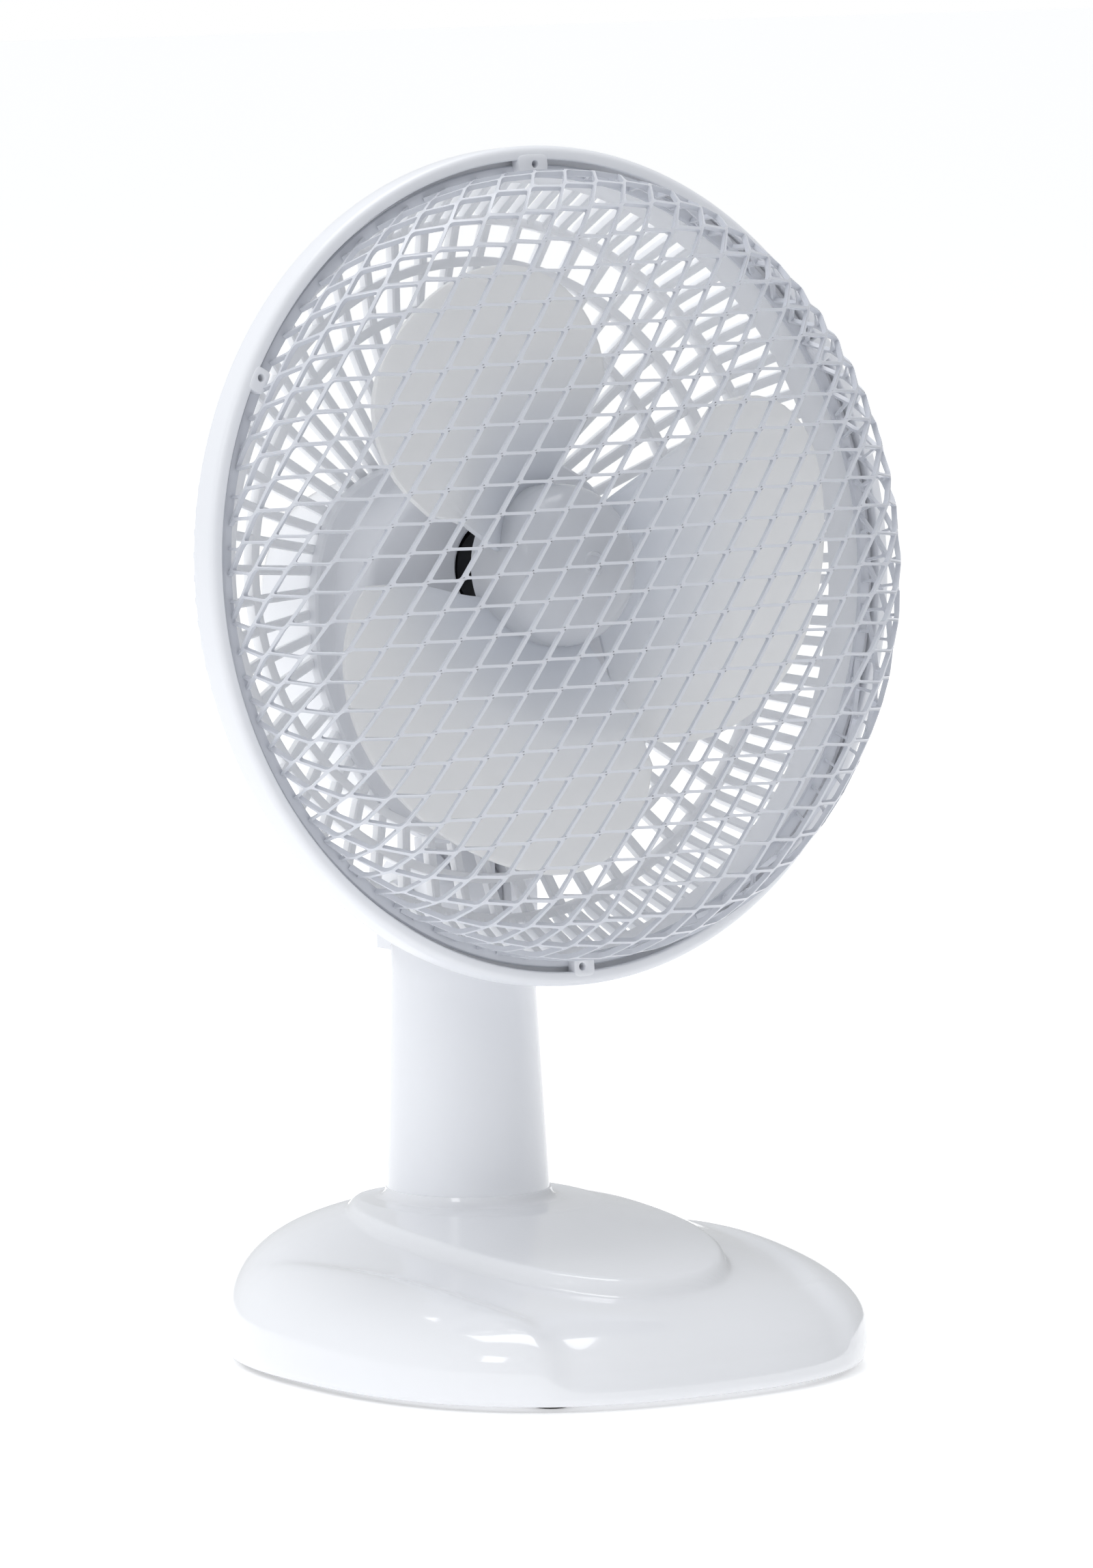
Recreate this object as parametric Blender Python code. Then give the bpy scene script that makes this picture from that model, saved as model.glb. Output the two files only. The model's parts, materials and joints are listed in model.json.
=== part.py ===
"""Small desk fan: weighted-looking plastic base, short neck with a tilt joint, caged three-blade rotor.

Metres, +Z up, the fan blows towards -Y. The origin is the centre of the footprint box, on the floor.
"""
from math import cos, pi, radians, sin

import bmesh
import bpy
from mathutils import Matrix, Vector

MM = 0.001

# Driving dimensions, in millimetres and degrees
RING_R = 97.5            # outer radius of the guard ring
RING_HEIGHT = 187.0      # ring centre above the floor
HEAD_TILT = 6.2          # lean of the head at rest, backwards
PIVOT_BACK = 46.0        # tilt axis behind the ring plane, along the fan axis
PIVOT_DOWN = 76.0        # tilt axis below the fan axis
HUB_R = 17.5
BLADE_R = 72.0
BLADES = 3
RIBS = 56                # ribs of the rear guard
BASE_HALF = 68.5         # half width of the base
BASE_TOP = 35.5          # top of the base, at the neck
FOOT_H = 1.5             # rubber feet below the base rim
NECK_R = 18.7
WALL = 2.2               # moulded wall
GAP = 0.3                # between pieces that touch
SHAFT_R = 2.0
SCENE_BACK = -4.5        # moves the whole model so that its box is centred

RING_TO_PIVOT = Vector((0, PIVOT_BACK, -PIVOT_DOWN))
NECK_BACK = 31.2         # neck axis behind the base centre, at the base
LUG_ANGLES = (0, 60, 180, 300)


def clear_scene():
    for obj in list(bpy.data.objects):
        bpy.data.objects.remove(obj, do_unlink=True)


def make_material(name, colour, roughness, metallic=0.0):
    mat = bpy.data.materials.new(name)
    mat.use_nodes = True
    shader = mat.node_tree.nodes["Principled BSDF"]
    shader.inputs["Base Color"].default_value = (*colour, 1)
    shader.inputs["Roughness"].default_value = roughness
    shader.inputs["Metallic"].default_value = metallic
    mat.diffuse_color = (*colour, 1)
    return mat


clear_scene()
WHITE = make_material("white_plastic", (0.86, 0.87, 0.89), 0.22)
GUARD_WHITE = make_material("guard_plastic", (0.84, 0.86, 0.89), 0.35)
MILKY = make_material("milky_plastic", (0.78, 0.81, 0.85), 0.3)
BLACK = make_material("black_plastic", (0.02, 0.02, 0.022), 0.45)
RUBBER = make_material("black_rubber", (0.015, 0.015, 0.016), 0.8)
STEEL = make_material("zinc_steel", (0.6, 0.61, 0.62), 0.35, 1.0)
IRON = make_material("lamination_steel", (0.33, 0.34, 0.36), 0.5, 1.0)
COPPER = make_material("enamelled_copper", (0.55, 0.2, 0.07), 0.35, 1.0)
BRONZE = make_material("sintered_bronze", (0.45, 0.3, 0.12), 0.5, 1.0)


def make_empty(name, place, tilt=0.0, parent=None):
    empty = bpy.data.objects.new(name, None)
    bpy.context.scene.collection.objects.link(empty)
    empty.parent = parent
    empty.location = Vector(place) * MM
    empty.rotation_euler = (radians(tilt), 0, 0)
    return empty


ROOT = make_empty("fan_frame", (0, SCENE_BACK, 0))
PIVOT_PLACE = Vector((0, -0.6, RING_HEIGHT)) + Matrix.Rotation(radians(-HEAD_TILT), 3, "X") @ RING_TO_PIVOT
HEAD = make_empty("head_frame", PIVOT_PLACE, -HEAD_TILT, ROOT)
ROTOR = make_empty("rotor_frame", -RING_TO_PIVOT, 0, HEAD)
KNOB_PLACE = Vector((0, BASE_HALF, 15.5))
KNOB = make_empty("knob_frame", KNOB_PLACE, 0, ROOT)


def add_node(name, bm, mat, parent, offset=(0, 0, 0), smooth=40):
    """Writes a bmesh drawn in millimetres as an object; offset moves it in its parent's frame."""
    bmesh.ops.translate(bm, verts=bm.verts, vec=Vector(offset))
    bmesh.ops.scale(bm, verts=bm.verts, vec=(MM, MM, MM))
    bmesh.ops.remove_doubles(bm, verts=bm.verts, dist=1e-7)
    bmesh.ops.recalc_face_normals(bm, faces=bm.faces)
    if bm.calc_volume(signed=True) < 0:
        bmesh.ops.reverse_faces(bm, faces=bm.faces)
    mesh = bpy.data.meshes.new(name)
    bm.to_mesh(mesh)
    bm.free()
    mesh.materials.append(mat)
    mesh.shade_smooth()
    mesh.set_sharp_from_angle(angle=radians(smooth))
    obj = bpy.data.objects.new(name, mesh)
    bpy.context.scene.collection.objects.link(obj)
    obj.parent = parent
    return obj


def add_head_node(name, bm, mat, smooth=40):
    """Head pieces are drawn around the ring centre: x right, y back along the fan axis, z up."""
    return add_node(name, bm, mat, HEAD, -RING_TO_PIVOT, smooth)


def combine(target, tool, operation):
    """Exact Boolean of one object with a helper object, which is then removed."""
    bpy.context.view_layer.update()
    cut = target.modifiers.new(operation.lower(), "BOOLEAN")
    cut.operation = operation
    cut.object = tool
    bpy.context.view_layer.update()
    graph = bpy.context.evaluated_depsgraph_get()
    result = bpy.data.meshes.new_from_object(target.evaluated_get(graph), depsgraph=graph)
    target.modifiers.clear()
    target.data = result
    bpy.data.objects.remove(tool, do_unlink=True)
    bm = bmesh.new()
    bm.from_mesh(result)
    bmesh.ops.remove_doubles(bm, verts=bm.verts, dist=2e-6)
    bmesh.ops.dissolve_degenerate(bm, edges=bm.edges, dist=2e-6)
    bm.to_mesh(result)
    bm.free()


def cut_by(target, bm, parent, offset=(0, 0, 0)):
    combine(target, add_node("tool", bm, STEEL, parent, offset), "DIFFERENCE")


def join_with(target, bm, parent, offset=(0, 0, 0)):
    combine(target, add_node("tool", bm, STEEL, parent, offset), "UNION")


# ---------------------------------------------------------------- shape helpers, in millimetres


def arc(centre, radius, start, end, steps):
    """Points on an arc in a plane, angles in degrees."""
    turn = [radians(start + (end - start) * i / steps) for i in range(steps + 1)]
    return [(centre[0] + radius * cos(a), centre[1] + radius * sin(a)) for a in turn]


def turned(profile, steps, axis="Y", centre=(0, 0, 0)):
    """Spins a closed outline of (radius, along) points into a solid around Y or Z."""
    along = Vector((0, 1, 0)) if axis == "Y" else Vector((0, 0, 1))
    bm = bmesh.new()
    verts = [bm.verts.new(Vector((r, 0, 0)) + along * h) for r, h in profile]
    edges = [bm.edges.new((a, b)) for a, b in zip(verts, verts[1:] + verts[:1])]
    bmesh.ops.spin(bm, geom=verts + edges, axis=along, cent=(0, 0, 0), angle=2 * pi, steps=steps, use_merge=True)
    bmesh.ops.remove_doubles(bm, verts=bm.verts, dist=1e-4)
    bmesh.ops.dissolve_degenerate(bm, edges=bm.edges, dist=1e-4)
    bmesh.ops.translate(bm, verts=bm.verts, vec=centre)
    return bm


def rod(radius, start, end, steps=24, axis="Y", centre=(0, 0, 0)):
    return turned([(0, start), (radius, start), (radius, end), (0, end)], steps, axis, centre)


def tube(inner, outer, start, end, steps=24, axis="Y", centre=(0, 0, 0)):
    return turned([(inner, start), (outer, start), (outer, end), (inner, end)], steps, axis, centre)


def lie_along_x(bm, centre=(0, 0, 0)):
    """Turns a solid drawn around Z so that it lies along X."""
    bmesh.ops.rotate(bm, verts=bm.verts, cent=(0, 0, 0), matrix=Matrix.Rotation(pi / 2, 3, "Y"))
    bmesh.ops.translate(bm, verts=bm.verts, vec=centre)
    return bm


def plate(outline, thickness, place, bevel=0.0):
    """Extrudes an outline; place maps (u, v, w) to a point, w running along the thickness."""
    bm = bmesh.new()
    face = bm.faces.new([bm.verts.new(place(u, v, 0)) for u, v in outline])
    grown = bmesh.ops.extrude_face_region(bm, geom=[face])
    top = [v for v in grown["geom"] if isinstance(v, bmesh.types.BMVert)]
    push = place(0, 0, thickness) - place(0, 0, 0)
    bmesh.ops.translate(bm, verts=top, vec=push)
    bm.normal_update()
    if bevel:
        rims = [e for e in bm.edges if e.calc_face_angle(0) > 1.0]
        bmesh.ops.bevel(bm, geom=rims, offset=bevel, segments=2, profile=0.5, affect="EDGES", material=-1)
    return bm


def facing_front(u, v, w):
    return Vector((u, w, v))


def facing_side(u, v, w):
    return Vector((w, u, v))


def facing_up(u, v, w):
    return Vector((u, v, w))


def block(low, high, bevel=0.0):
    outline = [(low[0], low[1]), (high[0], low[1]), (high[0], high[1]), (low[0], high[1])]
    return plate(outline, high[2] - low[2], lambda u, v, w: Vector((u, v, low[2] + w)), bevel)


def squircle(width, height, power, angle):
    """A point of a rounded square outline at this angle."""
    c, s = cos(angle), sin(angle)
    reach = (abs(c) ** power + abs(s) ** power) ** (-1 / power)
    return width * reach * c, height * reach * s


def loft(rings, count, cap_last=False):
    """A sheet through rings; each ring maps an angle to a point."""
    bm = bmesh.new()
    turn = [2 * pi * i / count for i in range(count)]
    first = bmesh.ops.create_circle(bm, segments=count, radius=1)["verts"]
    for vert, a in zip(first, turn):
        vert.co = rings[0](a)
    edges = list(bm.edges)
    for ring in rings[1:]:
        grown = bmesh.ops.extrude_edge_only(bm, edges=edges)["geom"]
        edges = [g for g in grown if isinstance(g, bmesh.types.BMEdge)]
        bm.verts.ensure_lookup_table()
        fresh = bm.verts[-count:]
        for vert, a in zip(fresh, turn):
            vert.co = ring(a)
    if cap_last:
        bmesh.ops.contextual_create(bm, geom=edges)
    bmesh.ops.recalc_face_normals(bm, faces=bm.faces)
    return bm


def thicken(bm, thickness):
    bm.normal_update()
    bmesh.ops.solidify(bm, geom=bm.verts[:] + bm.edges[:] + bm.faces[:], thickness=thickness)
    return bm


def open_cells(bm, cells, strand):
    """Turns faces into openings that leave a bar of half width strand along each edge."""
    bm.normal_update()
    bmesh.ops.inset_individual(bm, faces=cells, thickness=strand, use_even_offset=True)
    bmesh.ops.delete(bm, geom=cells, context="FACES")


# ---------------------------------------------------------------- base


def base_outline(angle, reach=BASE_HALF):
    return squircle(reach, reach, 2.5, angle)


def base_height(t, angle):
    """Height of the base top: t runs from the neck (0) to the rim (1); the front slopes more than the back."""
    front = 0.5 - 0.5 * sin(angle)
    slope = 0.25 + 0.3 * front
    round_power = 4.0 + 2.5 * front
    fall = slope * (1 - t) + (1 - slope) * (1 - t ** round_power) ** 0.5
    return FOOT_H + 8.0 + (BASE_TOP - FOOT_H - 8.0) * fall


def base_ring(t):
    def place(angle):
        x, y = base_outline(angle)
        inner = (NECK_R + 1.0) * Vector((cos(angle), sin(angle)))
        return Vector((
            x * t + inner.x * (1 - t),
            y * t + (inner.y + NECK_BACK) * (1 - t),
            base_height(t, angle),
        ))
    return place


def rim_ring(height, reach):
    return lambda angle: Vector((*base_outline(angle, reach), height))


def make_base():
    steps = [0.0, 0.22, 0.42, 0.6, 0.75, 0.87, 0.95, 0.99]
    rings = [base_ring(t) for t in steps]
    rings += [rim_ring(FOOT_H + 8.0, BASE_HALF), rim_ring(FOOT_H, BASE_HALF - 0.8)]
    shell = thicken(loft(rings, 44), WALL)
    base = add_node("base_shell", shell, WHITE, ROOT)
    for x, y in BOSSES:
        bpy.context.view_layer.update()
        wall = base.ray_cast(Vector((x, y, 8)) * MM, Vector((0, 0, 1)))[1].z / MM
        join_with(base, rod(3.6, FOOT_H + 2.6, wall + 0.3, 12, "Z", (x, y, 0)), ROOT)
    for x, y in BOSSES:
        cut_by(base, rod(1.7, FOOT_H + 1, FOOT_H + 11, 10, "Z", (x, y, 0)), ROOT)
    cut_by(base, rod(5.3, -6, 6, 20, "Y", KNOB_PLACE), ROOT)
    cut_by(base, rod(4.8, -8, 6, 20, "Y", CORD_PLACE), ROOT)
    return base


BOSSES = ((44, -24), (-44, -24), (42, 30), (-42, 30))
FEET = ((36, -49), (-36, -49), (38, 46), (-38, 46))
CORD_PLACE = Vector((32, 66, 9.6))
PLATE_TOP = FOOT_H + 2.3
NECK_SCREWS = (-9.5, 9.5)
BASE_SCREW = [(0, 0.2), (3.0, 0.2), (3.0, 1.4), (1.3, 1.4), (1.3, 10), (0, 10)]


def make_base_plate():
    outline = [base_outline(2 * pi * i / 44, BASE_HALF - WALL - 1.6) for i in range(44)]
    bottom = plate(outline, 2.0, lambda u, v, w: Vector((u, v, FOOT_H + GAP + w)))
    obj = add_node("base_plate", bottom, WHITE, ROOT)
    for x, y in BOSSES + tuple((x, NECK_BACK) for x in NECK_SCREWS):
        cut_by(obj, rod(2.0, 0, 6, 12, "Z", (x, y, 0)), ROOT)
    for i, (x, y) in enumerate(FEET, 1):
        foot = turned([(0, 0), (4.2, 0), (4.75, 0.6), (4.75, FOOT_H), (0, FOOT_H)], 20, "Z", (x, y, 0))
        add_node(f"rubber_foot_{i}", foot, RUBBER, ROOT)
    for i, (x, y) in enumerate(BOSSES, 1):
        add_node(f"base_screw_{i}", turned(BASE_SCREW, 12, "Z", (x, y, 0.1)), STEEL, ROOT)


def make_switch():
    wall = BASE_HALF - WALL - 0.6
    body = block((-8, wall - 15.2, 8.5), (8, wall - 3.6, 21), 0.8)
    switch = add_node("speed_switch", body, BLACK, ROOT)
    join_with(switch, rod(4.4, wall - 5, BASE_HALF + 2.2, 20, "Y", (0, 0, KNOB_PLACE.z)), ROOT)
    cut_by(switch, rod(2.9, wall - 9, BASE_HALF + 6, 20, "Y", (0, 0, KNOB_PLACE.z)), ROOT)
    nut = rod(7.2, BASE_HALF + GAP, BASE_HALF + 2.0, 6, "Y", (0, 0, KNOB_PLACE.z))
    cut_by(add_node("switch_nut", nut, STEEL, ROOT), rod(4.7, -6, 6, 20, "Y", KNOB_PLACE), ROOT)
    cap = [(0, -5), (2.5, -5), (2.5, 2.6), (8, 2.6), (8.2, 5.5), (7.4, 7.0), (0, 7.0)]
    knob = add_node("speed_knob", turned(cap, 32), WHITE, KNOB)
    join_with(knob, block((-1.1, 6.2, -7.0), (1.1, 9.0, 7.0), 0.3), KNOB)


def make_cord_outlet():
    """The grommet that the mains cord passes through, low at the back of the base."""
    y = CORD_PLACE.y
    ring = [(2.9, y - 7), (4.5, y - 7), (4.5, y + 2.6), (6.2, y + 2.6), (6.2, y + 4.2), (2.9, y + 4.2)]
    add_node("cord_grommet", turned(ring, 20, "Y", (CORD_PLACE.x, 0, CORD_PLACE.z)), BLACK, ROOT)


def make_terminal_block():
    body = block((20, -2, PLATE_TOP + GAP), (40, 8, PLATE_TOP + 8), 0.6)
    block_node = add_node("terminal_block", body, WHITE, ROOT)
    for x in (24, 30, 36):
        cut_by(block_node, rod(1.6, -6, 12, 10, "Y", (x, 0, PLATE_TOP + 4)), ROOT)


# ---------------------------------------------------------------- neck and tilt joint

NECK_BOTTOM = 14.0
NECK_TOP = 92.0
YOKE_GAP = 7.8           # half width of the slot in the yoke
YOKE_HALF = 15.4
EAR_R = 11.0


def neck_ring(height, shrink=0.0):
    """The neck tapers upwards at its front, and its back stays upright."""
    t = min(max((height - BASE_TOP) / (NECK_TOP - BASE_TOP), 0), 1)
    deep = NECK_R - 3.4 * t - shrink
    wide = NECK_R - 1.9 * t - shrink
    back = NECK_BACK + 3.4 * t
    return lambda angle: Vector((wide * cos(angle), back + deep * sin(angle), height))


def make_neck():
    heights = [NECK_BOTTOM, BASE_TOP, 50, 64, 78, NECK_TOP]
    split = NECK_BACK + 1.7
    for name, side in (("neck_front_shell", 1), ("neck_rear_shell", -1)):
        sheet = loft([neck_ring(h) for h in heights], 40)
        geom = sheet.verts[:] + sheet.edges[:] + sheet.faces[:]
        seam = Vector((0, split - side * 0.15, 0))
        bmesh.ops.bisect_plane(sheet, geom=geom, plane_co=seam, plane_no=(0, side, 0), clear_outer=True, dist=1e-4)
        add_node(name, thicken(sheet, 2.0), WHITE, ROOT)
    for i, x in enumerate(NECK_SCREWS, 1):
        add_node(f"neck_screw_{i}", turned(BASE_SCREW, 12, "Z", (x, NECK_BACK, 0.1)), STEEL, ROOT)


def make_neck_foot():
    """The cross piece that the neck screws pull the two halves down on, inside the base."""
    outline = [(neck_ring(NECK_BOTTOM, 2.5)(2 * pi * i / 32)) for i in range(32)]
    foot = plate([(p.x, p.y) for p in outline], 12, lambda u, v, w: Vector((u, v, PLATE_TOP + GAP + w)))
    piece = add_node("neck_foot", foot, WHITE, ROOT)
    for x in NECK_SCREWS:
        cut_by(piece, rod(1.7, 0, 14, 12, "Z", (x, NECK_BACK, 0)), ROOT)
    cut_by(piece, rod(4.2, 0, 24, 16, "Z", (0, NECK_BACK, 0)), ROOT)


def ear_outline(radius, foot, base_half):
    """A rounded lug around the tilt axis that runs down to a foot."""
    y, z = PIVOT_PLACE.y, PIVOT_PLACE.z
    return [(y + base_half, foot)] + arc((y, z), radius, 0, 180, 16) + [(y - base_half, foot)]


def make_yoke():
    """The fork on top of the neck that holds the head's tongue."""
    plug = [neck_ring(NECK_TOP, 2.6)(2 * pi * i / 32) for i in range(32)]
    body = plate([(p.x, p.y) for p in plug], 9.4, lambda u, v, w: Vector((u, v, NECK_TOP - 9 + w)))
    yoke = add_node("tilt_yoke", body, WHITE, ROOT)
    cap = [neck_ring(NECK_TOP)(2 * pi * i / 32) for i in range(32)]
    shoulder = plate([(p.x, p.y) for p in cap], 3.0, lambda u, v, w: Vector((u, v, NECK_TOP + GAP + w)))
    join_with(yoke, shoulder, ROOT)
    for low in (-YOKE_HALF, YOKE_GAP):
        ear = plate(ear_outline(EAR_R, NECK_TOP + 2, EAR_R), YOKE_HALF - YOKE_GAP,
                    lambda u, v, w, low=low: Vector((low + w, u, v)))
        join_with(yoke, ear, ROOT)
    cut_by(yoke, lie_along_x(rod(2.9, -20, 20, 20, "Z"), PIVOT_PLACE), ROOT)


def make_tilt_bolt():
    """The tilt axis: a bolt, two friction washers and a nut."""
    side = YOKE_HALF + GAP
    bolt = [(0, -side - 3), (4.2, -side - 3), (4.8, -side - 2), (4.8, -side), (2.5, -side), (2.5, side + 5), (0, side + 5)]
    add_node("tilt_bolt", lie_along_x(turned(bolt, 24, "Z"), PIVOT_PLACE), STEEL, ROOT)
    nut = add_node("tilt_nut", lie_along_x(rod(4.9, side, side + 3.6, 6, "Z"), PIVOT_PLACE), STEEL, ROOT)
    cut_by(nut, lie_along_x(rod(2.8, -30, 30, 20, "Z"), PIVOT_PLACE), ROOT)
    for name, start in (("tilt_washer_left", -7.5), ("tilt_washer_right", 6.3)):
        washer = lie_along_x(tube(2.8, 8.0, start, start + 1.2, 24, "Z"), PIVOT_PLACE)
        add_node(name, washer, STEEL, ROOT)


# ---------------------------------------------------------------- head: guards

PLATE_DEPTH = 32.0       # rear plate behind the ring plane
CUP_DEPTH = 21.0         # front face of the motor cup behind the ring plane


def shield_reach(angle, grow=0.0):
    """Distance from the fan axis to the edge of the rear plate, a rounded square that narrows to the neck."""
    near, far = 0.0, 120.0
    while far - near > 0.001:
        reach = (near + far) / 2
        x, z = reach * cos(angle), reach * sin(angle)
        half = (46 + grow) * (1 - 0.0062 * max(-z - 20, 0))
        inside = abs(x / half) ** 3 + abs((z + 18.5) / (45.5 + grow)) ** 3 < 1
        near, far = (reach, far) if inside else (near, reach)
    return near


def shield_ring(depth, grow, scale=1.0, centre=-16.0):
    def place(angle):
        reach = shield_reach(angle, grow)
        x, z = reach * cos(angle), reach * sin(angle)
        return Vector((x * scale, depth, centre + (z - centre) * scale))
    return place


def round_ring(depth, radius):
    return lambda angle: Vector((radius * cos(angle), depth, radius * sin(angle)))


def make_rear_guard():
    """One moulding: motor cup, plate, ribs with hoops, slotted side wall and rim."""
    rings = [
        round_ring(CUP_DEPTH, 12.0), shield_ring(CUP_DEPTH, -7.0), shield_ring(PLATE_DEPTH - 1.5, -3.5),
        shield_ring(PLATE_DEPTH - 1.5, 0.0), round_ring(22.0, 82.0), round_ring(10.0, 90.0), round_ring(5.0, 91.6),
        round_ring(3.6, 94.9),
    ]
    sheet = loft(rings, RIBS)
    sheet.faces.ensure_lookup_table()
    opened = [f for f in sheet.faces if 3 * RIBS <= f.index < 5 * RIBS]
    open_cells(sheet, opened, 1.15)
    add_head_node("rear_guard", thicken(sheet, 2.2), GUARD_WHITE)


def make_ring():
    """The snap ring that closes the cage, with four lugs that hold the mesh."""
    section = [
        (95.3, 4.5), (RING_R, 4.5), (RING_R, -3.4), (96.6, -4.8), (93.6, -4.8), (93.0, -4.2), (93.0, -3.2), (95.3, -3.0),
    ]
    ring = add_head_node("guard_ring", turned(section, 60), GUARD_WHITE)
    for angle in LUG_ANGLES:
        lug = block((-4.2, -4.4, 89.3), (4.2, -1.4, 95.8), 0.4)
        bmesh.ops.rotate(lug, verts=lug.verts, cent=(0, 0, 0), matrix=Matrix.Rotation(radians(angle), 3, "Y"))
        join_with(ring, lug, HEAD, -RING_TO_PIVOT)
        hole = rod(1.5, -8, 2, 12, "Y", (0, 0, 91.6))
        bmesh.ops.rotate(hole, verts=hole.verts, cent=(0, 0, 0), matrix=Matrix.Rotation(radians(angle), 3, "Y"))
        cut_by(ring, hole, HEAD, -RING_TO_PIVOT)


MESH_ACROSS = Vector((23.5, 0.8))    # one cell to the next along the strands
MESH_ALONG = Vector((13.8, 17.5))
STRAND = 0.75
BOWL_FACE = 69.5         # radius of the nearly flat face of the front mesh
BOWL_ROUND = 18.0        # bend of the front mesh between its face and its side


def bowl(flat, lift):
    """Maps a distance on the flat sheet to the pressed bowl: radius and distance forward of the ring plane."""
    face, turn = BOWL_FACE, BOWL_ROUND * pi / 2
    if flat < face:
        return flat, 30.5 - 5.5 * (flat / face) ** 3 + lift
    if flat < face + turn:
        bend = (flat - face) / BOWL_ROUND
        return face + (BOWL_ROUND + lift) * sin(bend), 25.0 - BOWL_ROUND + (BOWL_ROUND + lift) * cos(bend)
    return face + BOWL_ROUND + lift, 25.0 - BOWL_ROUND - (flat - face - turn)


def make_mesh():
    """Expanded metal pressed into a bowl: diamond cells cut round, with a hem."""
    rim = BOWL_FACE + BOWL_ROUND * pi / 2 + 7.0
    bm = bmesh.new()
    bmesh.ops.create_grid(bm, x_segments=14, y_segments=14, size=7)
    for vert in bm.verts:
        flat = MESH_ACROSS * vert.co.x + MESH_ALONG * vert.co.y
        vert.co = Vector((flat.x, 0, flat.y))
    open_cells(bm, list(bm.faces), STRAND)
    for i in range(60):
        out = Vector((cos(2 * pi * i / 60), 0, sin(2 * pi * i / 60)))
        geom = bm.verts[:] + bm.edges[:] + bm.faces[:]
        bmesh.ops.bisect_plane(bm, geom=geom, plane_co=out * rim, plane_no=out, clear_outer=True, dist=0.02)
    bmesh.ops.remove_doubles(bm, verts=bm.verts, dist=0.02)
    grown = bmesh.ops.extrude_face_region(bm, geom=bm.faces[:])["geom"]
    raised = {g for g in grown if isinstance(g, bmesh.types.BMVert)}
    for vert in bm.verts:
        radius, forward = bowl(vert.co.length, 1.0 if vert in raised else 0.0)
        vert.co = vert.co.normalized() * radius - Vector((0, forward, 0))
    lattice = add_head_node("front_mesh", bm, GUARD_WHITE)
    join_with(lattice, tube(87.2, 94.6, -1.0, 0.9, 60), HEAD, -RING_TO_PIVOT)


# ---------------------------------------------------------------- head: motor and housing

MOTOR_MID = 44.0         # middle of the lamination stack behind the ring plane
MOTOR_SCREWS = ((21, 14.2), (-21, 14.2), (-21, -14.2), (21, -14.2))
TONGUE_HALF = 6.0


def make_housing():
    """Rear motor cover with its tilt tongue and cooling slots."""
    start = PLATE_DEPTH + WALL + 0.6
    rings = [
        shield_ring(start, -1.0), shield_ring(46, -1.0, 0.985), shield_ring(56, -1.0, 0.95),
        shield_ring(63, -1.0, 0.88), shield_ring(67, -1.0, 0.76), shield_ring(69, -1.0, 0.58),
    ]
    cover = add_head_node("motor_housing", thicken(loft(rings, 36, cap_last=True), 2.0), WHITE)
    tongue = plate([(PIVOT_BACK + 8, -58)] + arc((PIVOT_BACK, -PIVOT_DOWN), 8, 0, -180, 14) + [(PIVOT_BACK - 8, -58)],
                   2 * TONGUE_HALF, lambda u, v, w: Vector((-TONGUE_HALF + w, u, v)))
    join_with(cover, tongue, HEAD, -RING_TO_PIVOT)
    cut_by(cover, lie_along_x(rod(2.9, -12, 12, 20, "Z"), (0, PIVOT_BACK, -PIVOT_DOWN)), HEAD, -RING_TO_PIVOT)
    for row in range(-2, 3):
        slot = block((-15, 60, row * 6 - 13.3), (15, 74, row * 6 - 10.7))
        cut_by(cover, slot, HEAD, -RING_TO_PIVOT)


def make_stator():
    """Shaded-pole stator: a square lamination stack with two poles, and a coil on each."""
    low, high = MOTOR_MID - 7, MOTOR_MID + 7
    core = add_head_node("stator_core", block((-25, low, -17.5), (25, high, 17.5), 1.5), IRON)
    for side in (-1, 1):
        cut_by(core, block((side * 13 - 6, low - 1, -12), (side * 13 + 6, high + 1, 12)), HEAD, -RING_TO_PIVOT)
    cut_by(core, rod(12.8, low - 1, high + 1, 36), HEAD, -RING_TO_PIVOT)
    for x, z in MOTOR_SCREWS:
        cut_by(core, rod(1.8, low - 1, high + 1, 10, "Y", (x, 0, z)), HEAD, -RING_TO_PIVOT)
    for name, side in (("coil_left", -1), ("coil_right", 1)):
        coil = block((side * 22 - 6, low - 4.5, -9.5), (side * 22 + 6, high + 4.5, 9.5), 2.0)
        winding = add_head_node(name, coil, COPPER)
        cut_by(winding, block((side * 22 - 3.4, low - GAP, -16), (side * 22 + 3.4, high + GAP, 16)), HEAD, -RING_TO_PIVOT)


def make_brackets():
    """Two bearing brackets across the stack, each with a sintered bush in its boss."""
    low, high = MOTOR_MID - 7, MOTOR_MID + 7
    for name, inner, outer in (("front", low, -1), ("rear", high, 1)):
        face = inner + outer * 5.2
        arm = block((-25, min(face, face + outer * 2), -17), (25, max(face, face + outer * 2), 17), 0.4)
        bracket = add_head_node(f"{name}_bracket", arm, BLACK)
        start, end = sorted((face - outer * 0.5, face + outer * 8.6))
        join_with(bracket, rod(10.4, start, end, 32), HEAD, -RING_TO_PIVOT)
        cut_by(bracket, rod(4.9, start - 2, end + 2, 24), HEAD, -RING_TO_PIVOT)
        for x, z in MOTOR_SCREWS:
            cut_by(bracket, rod(1.8, face - 4, face + 4, 10, "Y", (x, 0, z)), HEAD, -RING_TO_PIVOT)
        bush_start, bush_end = sorted((face + outer * 1, face + outer * 7.8))
        add_head_node(f"{name}_bearing", tube(SHAFT_R + 0.06, 4.6, bush_start, bush_end, 24), BRONZE)
    for i, (x, z) in enumerate(MOTOR_SCREWS, 1):
        end = high + 5.2 + 2 + GAP
        screw = [(0, low - 8), (1.5, low - 8), (1.5, end), (2.8, end), (2.8, end + 2), (0, end + 2)]
        add_head_node(f"motor_screw_{i}", turned(screw, 12, "Y", (x, 0, z)), STEEL)


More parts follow.
